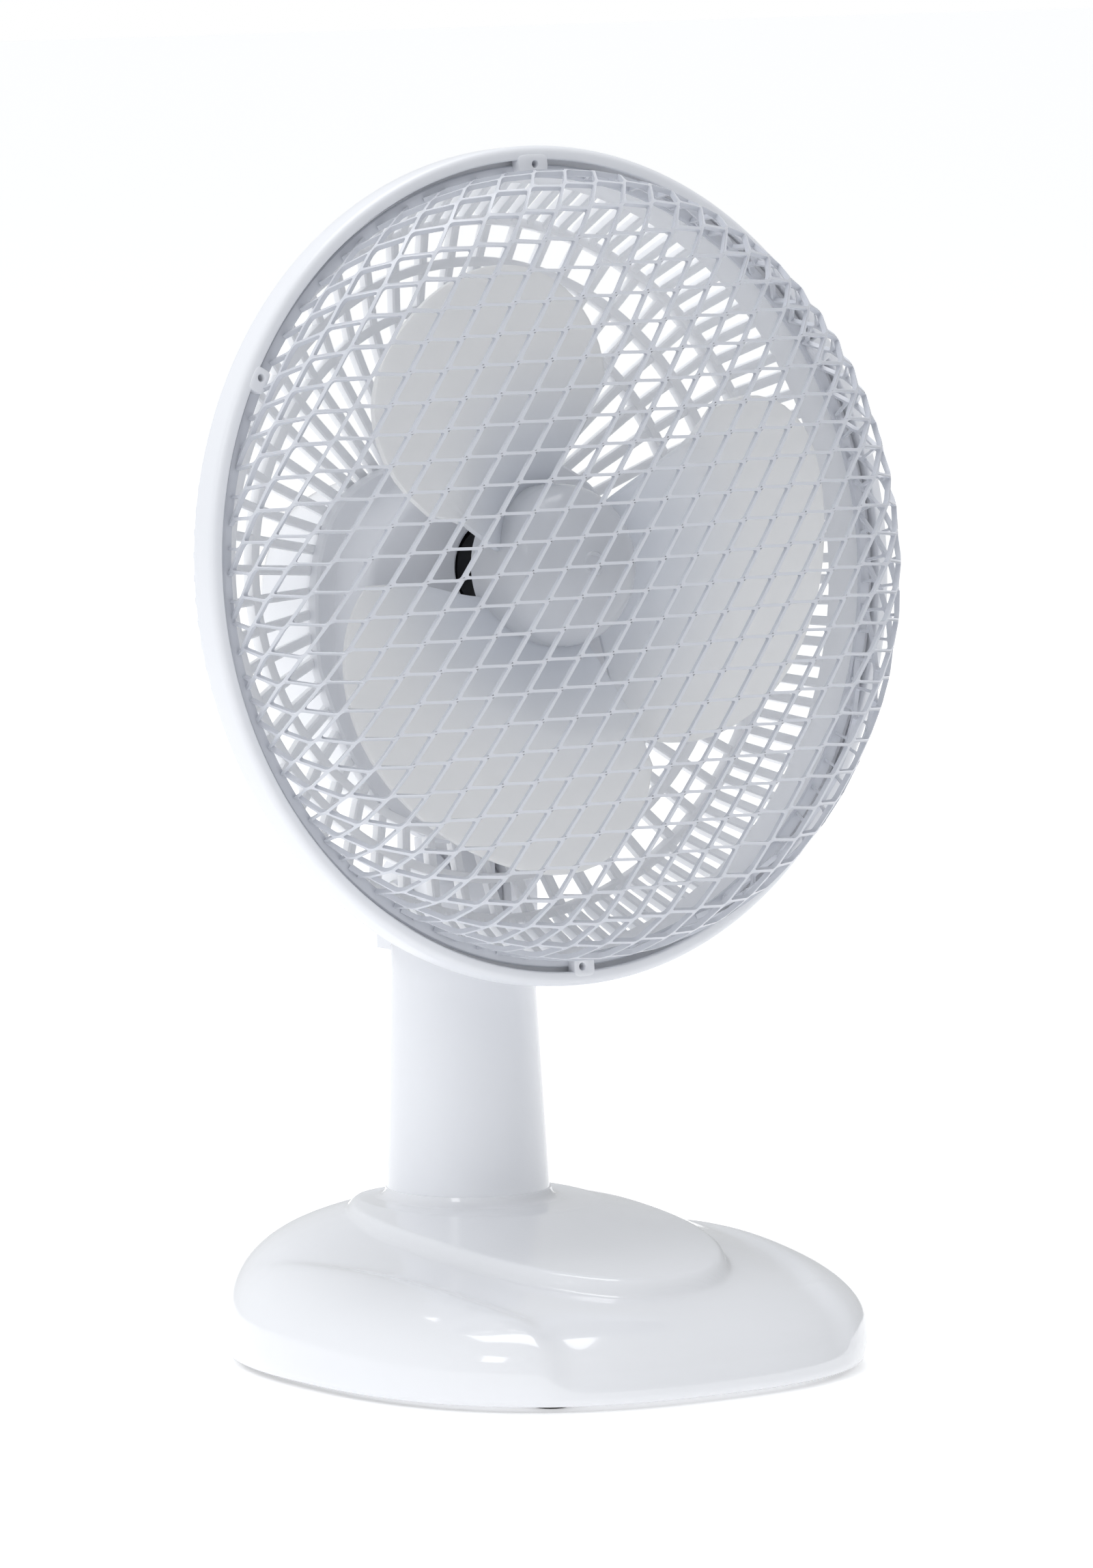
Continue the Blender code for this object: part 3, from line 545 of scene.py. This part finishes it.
def make_mesh():
    """Expanded metal pressed into a bowl, its strands thicker where they meet, in a round hem."""
    rim = BOWL_FACE + BOWL_ROUND * pi / 2 + 7.0     # of the flat sheet, before pressing
    bm = bmesh.new()
    bmesh.ops.create_grid(bm, x_segments=40, y_segments=120, size=20)
    spare = []
    for edge in bm.edges:
        low = min(edge.verts, key=lambda v: v.co.x)
        level = abs(edge.verts[0].co.y - edge.verts[1].co.y) < 0.01
        if level and (round(low.co.x) + round(low.co.y * 3)) % 2:
            spare.append(edge)
    bmesh.ops.dissolve_edges(bm, edges=spare, use_verts=False)
    for vert in bm.verts:
        column = round(vert.co.x)
        row = round(vert.co.y * 3)
        side = 0.5 if (row - column) % 2 == 0 else -0.5
        flat = MESH_ACROSS * column + MESH_ALONG * ((row - column + 0.5 - side) / 2)
        flat += MESH_BOND * side * (0.28 + 0.72 * min(flat.length / rim, 1.0) ** 4)
        vert.co = Vector((flat.x, 0, flat.y))
    far = [f for f in bm.faces if f.calc_center_median().length > rim + 12]
    bmesh.ops.delete(bm, geom=far, context="FACES")
    cells = list(bm.faces)
    bm.normal_update()
    bmesh.ops.inset_individual(bm, faces=cells, thickness=STRAND, use_even_offset=True)
    corners = {loop.vert for cell in cells for loop in cell.loops}
    bmesh.ops.delete(bm, geom=cells, context="FACES_ONLY")
    corners = [v for v in corners if v.is_valid]
    bmesh.ops.bevel(
        bm, geom=corners, offset=0.6, segments=2, profile=0.5, affect="VERTICES", material=-1
    )
    for i in range(72):
        out = Vector((cos(2 * pi * i / 72), 0, sin(2 * pi * i / 72)))
        geom = bm.verts[:] + bm.edges[:] + bm.faces[:]
        bmesh.ops.bisect_plane(
            bm, geom=geom, plane_co=out * rim, plane_no=out, clear_outer=True, dist=0.01
        )
    grown = bmesh.ops.extrude_face_region(bm, geom=bm.faces[:])["geom"]
    raised = {g for g in grown if isinstance(g, bmesh.types.BMVert)}
    for vert in bm.verts:
        radius, forward = bowl(vert.co.length, SHEET if vert in raised else 0.0)
        vert.co = vert.co.normalized() * radius - Vector((0, forward, 0))
    hem = arc((92.4, 0.2), 0.8, 90, -90, 5) + arc((90.9, 0.2), 0.8, 270, 90, 5)
    turned(hem, 168, bm=bm)
    finish_piece("front_mesh_strands", bm, MESH_COAT, "head", HEAD, ["front_mesh"])


SLOT_PITCH = 5.2
HINGE = (46, -76)        # tilt axis, as depth behind the ring plane and height above the fan axis


def make_housing():
    """Rear motor cover with a rounded back, cooling slots and the tilt tongue."""
    rings = [shield_ring(PLATE_DEPTH + 3.6, -2.6), shield_ring(PLATE_DEPTH + 3.6, -1.0)]
    rings += [shield_ring(46, -1.0, 0.985), shield_ring(53, -1.0, 0.965)]
    for step in range(1, 9):
        bend = radians(11.25 * step)
        rings.append(shield_ring(55.0 + 14.0 * sin(bend), -1.0, 0.955 - 0.4 * (1 - cos(bend))))
    cover = thicken(loft(rings, 96, cap_last=True), -2.0)
    housing = finish_piece("motor_cover", cover, WHITE, "head", HEAD, ["motor_housing"])
    slots = []
    for row in range(-3, 4):
        middle = SLOT_PITCH * row - 12.0
        slots.append((block((-16, 58, middle - 1.1), (16, 76, middle + 1.1), 0.5), HEAD))
    carve(housing, slots)
    tongue = bmesh.new()
    outline = [(54, -56)] + arc(HINGE, 8, 0, -180, 24) + [(38, -56)]
    face = tongue.faces.new([tongue.verts.new((-6, y, z)) for y, z in outline])
    grown = bmesh.ops.extrude_face_region(tongue, geom=[face])["geom"]
    far = [g for g in grown if isinstance(g, bmesh.types.BMVert)]
    bmesh.ops.translate(tongue, verts=far, vec=(12, 0, 0))
    bmesh.ops.bevel(
        tongue, geom=tongue.edges[:], offset=0.6, segments=2, profile=0.5, affect="EDGES", material=-1
    )
    piece = finish_piece("tilt_tongue", tongue, WHITE, "head", HEAD, ["motor_housing"])
    hole = turned([(0, -12), (2.9, -12), (2.9, 12), (0, 12)], 32, "Z")
    bmesh.ops.rotate(hole, verts=hole.verts, cent=(0, 0, 0), matrix=Matrix.Rotation(pi / 2, 3, "Y"))
    carve(piece, [(hole, HEAD @ Matrix.Translation((0, *HINGE)))])


# ---------------------------------------------------------------- impeller

BLADE_R = 73.0
ROOT_TWIST = 6.5         # degrees that the root trails behind the tip


def blade_point(u, v):
    """Blade surface: u runs from the leading to the trailing edge, v from the hub to the tip."""
    back = ROOT_TWIST * (1 - v) ** 2
    lead = radians(-74 + 4 * (1 - v) - back)
    trail = radians(17 + 11 * sin(min(v / 0.62, 1.0) * pi / 2) - back)
    angle = lead + (trail - lead) * u
    mid = 0.36
    lean = (u - mid) / (1 - mid) if u > mid else (mid - u) / mid
    tip = BLADE_R * (1 - 0.33 * lean ** (3.0 if u > mid else 3.2))
    radius = (HUB_R - 1.2) + (tip - HUB_R + 1.2) * v
    grown = min(max(radius - HUB_R, 0) / 20.0, 1.0)
    forward = 7.0 * grown - (6.0 + 7.4 * grown) * (angle + radians(27)) + 1.6 * (radius / BLADE_R) ** 2
    return Vector((radius * sin(angle), -forward, radius * cos(angle)))


def make_impeller():
    """Hub with a rounded nose, and three wide blades, in one milky moulding."""
    for i in range(3):
        bm = bmesh.new()
        bmesh.ops.create_grid(bm, x_segments=36, y_segments=24, size=0.5)
        for vert in bm.verts:
            vert.co = blade_point(vert.co.x + 0.5, vert.co.y + 0.5)
        turn = Matrix.Rotation(2 * pi * i / 3, 3, "Y")
        bmesh.ops.rotate(bm, verts=bm.verts, cent=(0, 0, 0), matrix=turn)
        bmesh.ops.recalc_face_normals(bm, faces=bm.faces)
        thicken(bm, 1.5)
        rims = [e for e in bm.edges if len(e.link_faces) == 2 and e.calc_face_angle(0) > 1.0]
        bmesh.ops.bevel(bm, geom=rims, offset=0.4, segments=2, profile=0.5, affect="EDGES", material=-1)
        finish_piece(f"blade_{i + 1}", bm, MILKY, "rotor", HEAD, ["impeller"])
    nose = [(HUB_R - 2.0, 6.0), (HUB_R - 0.3, 6.0), (HUB_R, 5.7), (HUB_R, -3.4)]
    nose += arc((8.6, -3.9), 10.3, 0, -62, 12) + [(10.0, -14.9), (6.0, -16.1), (2.9, -16.6)]
    nose += [(2.6, -17.1), (2.1, -17.1), (1.9, -16.6), (0, -16.7)]
    nose += [(0, -14.6), (9.0, -12.6), (HUB_R - 2.4, -5.0)]
    # The hub wears the darker copy of the blade plastic, which is painted shade.
    finish_piece("impeller_hub", turned(nose, 96), MILKY_HUB_PAINTED_SHADE, "rotor", HEAD, ["impeller"], sharp=28)


# ---------------------------------------------------------------- base and neck

FOOT_H = 1.5
WALL_H = 8.0             # upright wall of the base, above the feet
BASE_HALF = 70.5
BASE_TOP = 35.5
PANEL_RAISE = 1.3
VALLEY_DEPTH = 2.2
NECK_R = 19.4            # at the base
NECK_BACK = 31.0         # neck axis behind the middle of the base
NECK_TOP = 92.0          # where its taper ends
NECK_RIM = 96.2          # the last stretch runs straight up round the foot of the yoke
NECK_SEAM = 11.5         # behind the neck axis


def base_outline(angle, reach=BASE_HALF):
    """The base seen from above, a square with very round corners."""
    power = 2.5
    c, s = cos(angle), sin(angle)
    size = (abs(c) ** power + abs(s) ** power) ** (-1 / power)
    return Vector((reach * size * c, reach * size * s))


def smooth_step(value, width):
    """0 well below zero, 1 well above it."""
    return 1 / (1 + exp(max(min(-value / width, 60), -60)))


def on_panel(x, y):
    """1 inside the raised panel that runs forward from the neck, 0 outside."""
    half, middle, power = 36.0, 8.0, 2.3
    reach = 57.0 if y < middle else 46.0
    size = (abs(x / half) ** power + abs((y - middle) / reach) ** power) ** (1 / power)
    return smooth_step(1 - size, 0.008)


def in_valley(x, y):
    """1 in the valley between the panel and the two front lobes, 0 on the lobes and behind."""
    ridge = 42.0 + 16.0 * min(max((y + 48) / 76, 0), 1) ** 0.75
    return smooth_step(ridge - abs(x), 1.3) * smooth_step(26 - y, 6.0)


def base_point(t, angle):
    """Top of the shell, from the neck collar at t 0 to the head of the wall at t 1."""
    out = base_outline(angle)
    inner = (NECK_R + 2.2) * Vector((cos(angle), sin(angle)))
    x = out.x * t + inner.x * (1 - t)
    y = out.y * t + (inner.y + NECK_BACK) * (1 - t)
    front = 0.5 - 0.5 * sin(angle)
    slope = 0.25 + 0.3 * front
    power = 4.0 + 2.5 * front
    fall = slope * (1 - t) + (1 - slope) * (1 - t ** power) ** 0.5
    height = FOOT_H + WALL_H + (BASE_TOP - FOOT_H - WALL_H) * fall
    panel = on_panel(x, y)
    relief = PANEL_RAISE * panel - VALLEY_DEPTH * (1 - panel) * in_valley(x, y)
    tilt = radians(85) * t ** 7
    push = Vector((cos(angle), sin(angle), 0)) * sin(tilt) + Vector((0, 0, cos(tilt)))
    return Vector((x, y, height)) + push * relief * min(t * 8, 1)


def wall_point(height, reach, angle):
    """Foot of the shell, where the valley fades out."""
    place = base_outline(angle, reach)
    fade = min(max((height - FOOT_H - 1.0) / (WALL_H - 1.0), 0), 1) ** 1.5
    dent = VALLEY_DEPTH * in_valley(place.x, place.y) * fade
    return Vector((place.x - dent * cos(angle), place.y - dent * sin(angle), height))


def collar_point(height, reach, angle):
    """Small fillet that meets the neck."""
    return Vector((reach * cos(angle), NECK_BACK + reach * sin(angle), height))


def make_base():
    """Domed shell with the raised panel, the valley round it and a rim that tucks under."""
    # Each pair is a height above BASE_TOP and a distance outside NECK_R
    collar = [(0.6, -0.9), (2.4, -0.4), (2.2, 0.1), (1.2, 0.4), (0.45, 1.0), (0.1, 1.6)]
    rings = [lambda a, h=h, r=r: collar_point(BASE_TOP + h, NECK_R + r, a) for h, r in collar]
    steps = [i / 100 for i in range(1, 97)] + [0.968, 0.976, 0.983, 0.99, 0.995]
    rings += [lambda a, t=t: base_point(t, a) for t in steps]
    # Each pair is a height above FOOT_H and a distance inside BASE_HALF
    low = [(WALL_H, 0), (6.8, 0), (5.6, 0), (4.4, 0.1), (3.2, 0.3), (2.0, 0.5)]
    low += [(0.6, 0.9), (0.05, 1.6), (0.05, 3.2), (3.0, 3.3)]
    rings += [lambda a, h=h, r=r: wall_point(FOOT_H + h, BASE_HALF - r, a) for h, r in low]
    # The base wears the lighter copy of the white plastic, which is painted light.
    finish_piece("base_cover", loft(rings, 320), BASE_WHITE_PAINTED_LIGHT, "base", BASE, ["base_shell"], sharp=50)


def neck_point(height, angle, shrink=0.0):
    """The neck narrows upwards and leans a little to the rear."""
    t = min(max((height - BASE_TOP) / (NECK_TOP - BASE_TOP), 0), 1)
    deep = NECK_R - 3.4 * t - shrink
    wide = NECK_R - 1.9 * t - shrink
    return Vector((wide * cos(angle), NECK_BACK + 2.4 * t + deep * sin(angle), height))


def make_neck():
    """Two half shells that meet at a fine seam."""
    foot = 14
    heights = [foot + (NECK_RIM - 1.2 - foot) * i / 12 for i in range(13)]
    for name, side in (("neck_front_shell", 1), ("neck_rear_shell", -1)):
        rings = [lambda a, h=h: neck_point(h, a) for h in heights]
        rings += [lambda a: neck_point(NECK_RIM - 0.35, a, 0.35), lambda a: neck_point(NECK_RIM, a, 1.0)]
        sheet = loft(rings, 96)
        geom = sheet.verts[:] + sheet.edges[:] + sheet.faces[:]
        seam = Vector((0, NECK_BACK + NECK_SEAM - side * 0.08, 0))
        bmesh.ops.bisect_plane(
            sheet, geom=geom, plane_co=seam, plane_no=(0, side, 0), clear_outer=True, dist=1e-4
        )
        bmesh.ops.recalc_face_normals(sheet, faces=sheet.faces)
        finish_piece(name + "_skin", thicken(sheet, 1.8), WHITE, "base", BASE, [name])


make_rear_guard()
make_ring()
make_mesh()
make_housing()
make_impeller()
make_base()
make_neck()


# ---------------------------------------------------------------- stage, light and camera


def make_floor():
    """A wide pale floor that glows a little, so that it reads as white."""
    bm = bmesh.new()
    bmesh.ops.create_grid(bm, x_segments=2, y_segments=2, size=6)
    mesh = bpy.data.meshes.new("floor")
    bm.to_mesh(mesh)
    bm.free()
    mat = bpy.data.materials.new("pale_floor")
    mat.use_nodes = True
    shader = mat.node_tree.nodes["Principled BSDF"]
    shader.inputs["Base Color"].default_value = (0.92, 0.92, 0.92, 1)
    shader.inputs["Roughness"].default_value = 0.7
    shader.inputs["Specular IOR Level"].default_value = 0.2
    shader.inputs["Emission Color"].default_value = (1, 1, 1, 1)
    shader.inputs["Emission Strength"].default_value = 0.34
    mesh.materials.append(mat)
    floor = bpy.data.objects.new("floor", mesh)
    bpy.context.scene.collection.objects.link(floor)


def add_light(name, place, size, power):
    """A rectangular lamp aimed at the middle of the fan."""
    target = Vector((0, 0, 0.15))
    light = bpy.data.lights.new(name, "AREA")
    light.shape = "RECTANGLE"
    light.size, light.size_y = size
    light.energy = power
    lamp = bpy.data.objects.new(name, light)
    lamp.location = place
    lamp.rotation_euler = (target - Vector(place)).to_track_quat("-Z", "Y").to_euler()
    bpy.context.scene.collection.objects.link(lamp)


def make_camera():
    """A long lens in front and to the left, a little above the fan."""
    distance = 2.5
    turn, rise = radians(-36.4), radians(5.27)
    back = Vector((sin(turn) * cos(rise), -cos(turn) * cos(rise), sin(rise)))
    right = Vector((cos(turn), sin(turn), 0))
    up = back.cross(right)
    place = RING_CENTRE + back * distance
    target = RING_CENTRE - right * 0.0012 - up * 0.0506
    data = bpy.data.cameras.new("camera")
    data.sensor_fit = "VERTICAL"
    data.sensor_height = 36
    data.lens = 247.4
    data.clip_end = 50
    camera = bpy.data.objects.new("camera", data)
    camera.location = place
    camera.rotation_euler = (place - target).to_track_quat("Z", "Y").to_euler()
    bpy.context.scene.collection.objects.link(camera)
    bpy.context.scene.camera = camera


def make_world():
    """White studio, brighter to the left, above and behind; the camera itself sees plain white."""
    world = bpy.data.worlds.new("studio")
    world.use_nodes = True
    tree = world.node_tree
    dome = tree.nodes["Background"]
    way = tree.nodes.new("ShaderNodeTexCoord").outputs["Generated"]
    split = tree.nodes.new("ShaderNodeSeparateXYZ")
    tree.links.new(way, split.inputs[0])
    side = math_node(tree, "MULTIPLY", split.outputs["X"], -0.22)
    deep = math_node(tree, "MULTIPLY", split.outputs["Y"], 0.2)
    high = math_node(tree, "MULTIPLY", split.outputs["Z"], 0.2)
    glow = math_node(tree, "ADD", math_node(tree, "ADD", side, math_node(tree, "ADD", deep, high)), 0.585)
    tree.links.new(glow, dome.inputs["Strength"])
    dome.inputs["Color"].default_value = (0.97, 0.985, 1.0, 1)
    plain = tree.nodes.new("ShaderNodeBackground")
    plain.inputs["Color"].default_value = (1, 1, 1, 1)
    seen = tree.nodes.new("ShaderNodeLightPath").outputs["Is Camera Ray"]
    mix = tree.nodes.new("ShaderNodeMixShader")
    tree.links.new(seen, mix.inputs[0])
    tree.links.new(dome.outputs[0], mix.inputs[1])
    tree.links.new(plain.outputs[0], mix.inputs[2])
    tree.links.new(mix.outputs[0], tree.nodes["World Output"].inputs["Surface"])
    bpy.context.scene.world = world


make_floor()
make_world()
bpy.context.scene.view_settings.view_transform = "Standard"
add_light("key_left", (-1.8, -1.2, 1.5), (0.5, 0.9), 5)
add_light("top", (0.1, 0.2, 2.0), (1.2, 1.2), 15)
make_camera()
